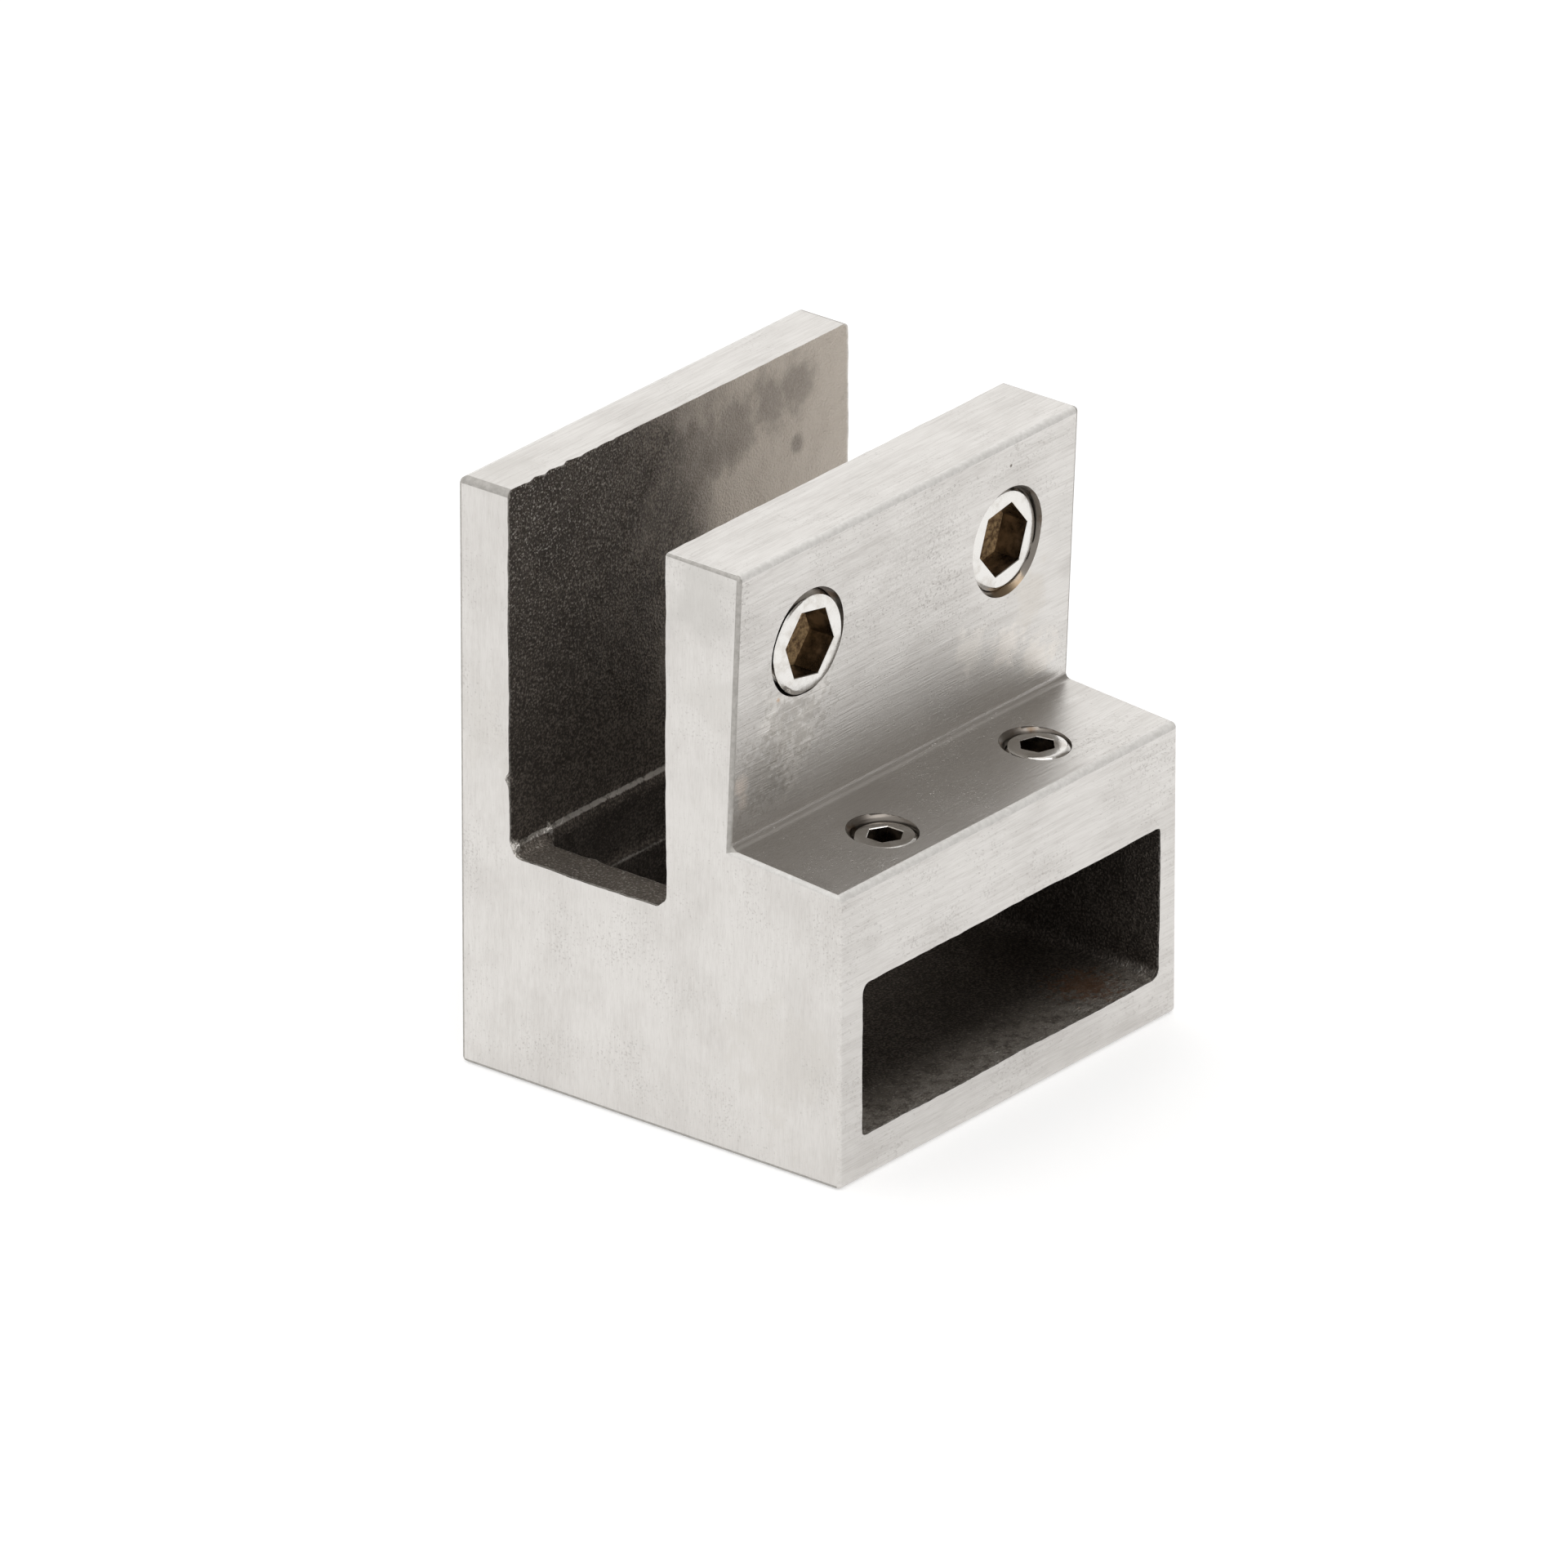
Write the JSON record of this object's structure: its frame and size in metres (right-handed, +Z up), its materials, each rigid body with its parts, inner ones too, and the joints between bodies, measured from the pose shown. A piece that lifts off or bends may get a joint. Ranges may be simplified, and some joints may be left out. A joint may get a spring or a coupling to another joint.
{
  "type": "glass channel connector",
  "caption": "Cast steel connector with an open channel that clamps a glass edge and a rectangular socket that clamps a flat bar, both by hex socket set screws.",
  "frame": {"origin": "middle of the underside, on the plane that the connector stands on", "axes": "+Z up out of the glass channel, X along the channel, the bar socket opens towards -Y"},
  "size_m": [0.04, 0.036, 0.0475],
  "materials": {
    "cast_steel": "satin, ground by hand outside with the grain along the faces, dark and as cast inside the channel and the socket",
    "screw_steel": "polished steel with a little brown rust in the key sockets"
  },
  "bodies": {
    "body": {"connector_body": "cast_steel"},
    "glass_screw_left": {"glass_screw_left": "screw_steel"},
    "glass_screw_right": {"glass_screw_right": "screw_steel"},
    "bar_screw_left": {"bar_screw_left": "screw_steel"},
    "bar_screw_right": {"bar_screw_right": "screw_steel"}
  },
  "joints": [
    {"name": "glass_screw_left_feed", "type": "slide", "parent": "body", "child": "glass_screw_left", "axis": [0, 1, 0], "range_m": [-0.00125, 0.00375]},
    {"name": "glass_screw_right_feed", "type": "slide", "parent": "body", "child": "glass_screw_right", "axis": [0, 1, 0], "range_m": [-0.0025, 0.0025]},
    {"name": "bar_screw_left_feed", "type": "slide", "parent": "body", "child": "bar_screw_left", "axis": [0, 0, -1], "range_m": [-0.0016, 0.004]},
    {"name": "bar_screw_right_feed", "type": "slide", "parent": "body", "child": "bar_screw_right", "axis": [0, 0, -1], "range_m": [-0.0016, 0.004]}
  ]
}
